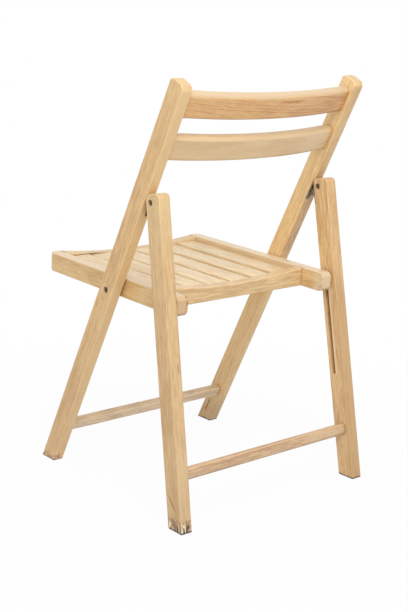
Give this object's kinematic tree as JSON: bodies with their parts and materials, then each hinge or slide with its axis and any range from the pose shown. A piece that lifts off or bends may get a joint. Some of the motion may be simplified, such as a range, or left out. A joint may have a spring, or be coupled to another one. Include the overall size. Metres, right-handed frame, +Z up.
{
  "type": "folding chair",
  "caption": "Slatted wooden folding chair: leaning stiles with bowed back rails, rear legs hinged on steel brackets, and a seat that tips up as the legs close.",
  "frame": {"origin": "on the floor, under the middle of the open chair's bounding box", "axes": "+Z up, +X to the sitter's left, the sitter faces -Y"},
  "size_m": [0.479, 0.4882, 0.801],
  "materials": {
    "beech": "clear satin lacquer, worn at the feet",
    "pale_beech": "clear satin lacquer",
    "warm_beech": "clear satin lacquer, yellowed",
    "dark_steel": "dull dark grey",
    "zinc": "zinc plated"
  },
  "bodies": {
    "back_frame": {"stile_left": "beech", "stile_right": "beech", "back_rail_top": "warm_beech", "back_rail_lower": "beech", "front_stretcher": "beech", "hinge_bracket_left": "dark_steel", "hinge_bracket_right": "dark_steel", "bracket_screw_left_upper": "zinc", "bracket_screw_left_lower": "zinc", "bracket_screw_right_upper": "zinc", "bracket_screw_right_lower": "zinc"},
    "rear_frame": {"rear_leg_left": "beech", "rear_leg_right": "beech", "rear_stretcher": "beech", "hinge_rivet_left": "dark_steel", "hinge_rivet_right": "dark_steel"},
    "seat": {"seat_rail_left": "beech", "seat_rail_right": "beech", "seat_rail_front": "beech", "seat_rail_rear": "beech", "seat_slat_1": "pale_beech", "seat_slat_2": "pale_beech", "seat_slat_3": "pale_beech", "seat_slat_4": "pale_beech", "seat_slat_5": "pale_beech", "seat_slat_6": "pale_beech", "seat_dowel_left_front_lower": "beech", "seat_dowel_left_front_upper": "beech", "seat_dowel_left_rear_lower": "beech", "seat_dowel_left_rear_upper": "beech", "seat_dowel_right_front_lower": "beech", "seat_dowel_right_front_upper": "beech", "seat_dowel_right_rear_lower": "beech", "seat_dowel_right_rear_upper": "beech", "pivot_bolt_left": "dark_steel", "pivot_bolt_right": "dark_steel", "pivot_washer_left": "zinc", "pivot_washer_right": "zinc", "insert_nut_left": "zinc", "insert_nut_right": "zinc", "guide_pin_left": "zinc", "guide_pin_right": "zinc"}
  },
  "joints": [
    {"name": "leg_fold", "type": "hinge", "parent": "back_frame", "child": "rear_frame", "pos_m": [0, 0.10787, 0.581], "axis": [-1, 0, 0], "range_deg": [0, 35]},
    {"name": "seat_fold", "type": "hinge", "parent": "back_frame", "child": "seat", "pos_m": [0, -0.01682, 0.3975], "axis": [-1, 0, 0], "range_deg": [0, 98.9]}
  ],
  "couplings": [
    {"joint": "seat_fold", "follows": "leg_fold", "ratio": 2.8256}
  ]
}
